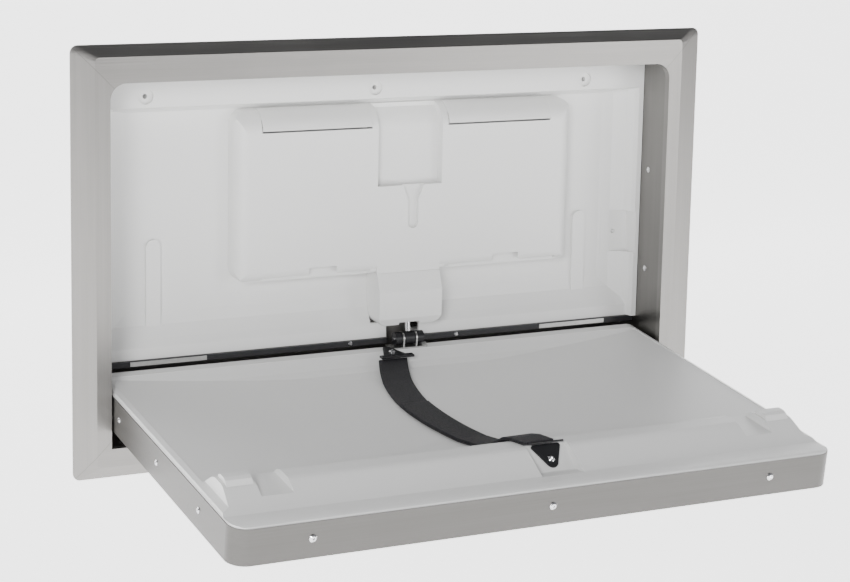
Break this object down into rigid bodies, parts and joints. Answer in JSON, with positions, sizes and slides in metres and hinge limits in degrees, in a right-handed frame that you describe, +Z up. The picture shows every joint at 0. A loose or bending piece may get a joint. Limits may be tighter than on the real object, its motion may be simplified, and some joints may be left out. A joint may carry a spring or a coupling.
{
  "type": "changing table",
  "caption": "Recessed wall changing station: brushed steel trim and recess, moulded back unit with liner dispenser, and a fold-down bed with a webbing strap, shown open.",
  "frame": {"origin": "middle of the trim frame's outline, on the wall face", "axes": "+X along the width to the viewer's right, +Y into the wall, +Z up; the bed folds out towards -Y"},
  "size_m": [0.946, 0.5378, 0.572],
  "materials": {
    "brushed_trim": "fine vertical and lengthwise brushed grain",
    "back_plastic": "moulded white, fine texture",
    "door_plastic": "moulded white, fine texture",
    "bed_plastic": "moulded white, fine texture",
    "seal_rubber": "matt black",
    "black_metal": "satin black",
    "bright_steel": "bright",
    "plain_steel": "satin",
    "webbing": "tight woven nylon"
  },
  "bodies": {
    "frame": {"trim_frame": "brushed_trim", "edge_seal": "seal_rubber", "recess_left": "brushed_trim", "recess_right": "brushed_trim", "recess_top": "brushed_trim", "recess_bottom": "brushed_trim", "recess_back": "brushed_trim", "side_wall_screws": "bright_steel", "back_unit": "back_plastic", "dispenser_housing": "back_plastic", "left_door_pin": "plain_steel", "right_door_pin": "plain_steel", "cylinder_cover": "back_plastic", "gas_cylinder": "black_metal", "cylinder_rod": "bright_steel", "cylinder_bracket": "plain_steel", "rest_strip": "black_metal", "strip_ends": "plain_steel", "strip_rivets": "bright_steel", "pivot_pins": "plain_steel"},
    "bed": {"bed_pan": "brushed_trim", "bed_top": "bed_plastic", "front_screws": "bright_steel", "left_screws": "bright_steel", "right_screws": "bright_steel", "bed_bracket": "plain_steel", "clevis_fork": "plain_steel", "clevis_pin": "bright_steel", "clevis_cap": "black_metal", "rear_anchor": "black_metal", "rear_anchor_screw": "bright_steel", "rear_loop": "black_metal", "front_anchor": "black_metal", "front_anchor_screw": "bright_steel", "front_loop": "black_metal", "strap_lower": "webbing", "strap_upper": "webbing"},
    "left_door": {"left_liner_door": "door_plastic"},
    "right_door": {"right_liner_door": "door_plastic"}
  },
  "joints": [
    {"name": "bed_fold", "type": "hinge", "parent": "frame", "child": "bed", "pos_m": [0, 0, -0.204], "axis": [-1, 0, 0], "range_deg": [0, 97]},
    {"name": "left_door_open", "type": "hinge", "parent": "frame", "child": "left_door", "pos_m": [0, 0.05849, 0.16074], "axis": [1, 0, 0], "range_deg": [0, 60]},
    {"name": "right_door_open", "type": "hinge", "parent": "frame", "child": "right_door", "pos_m": [0, 0.05849, 0.16074], "axis": [1, 0, 0], "range_deg": [0, 60]}
  ]
}
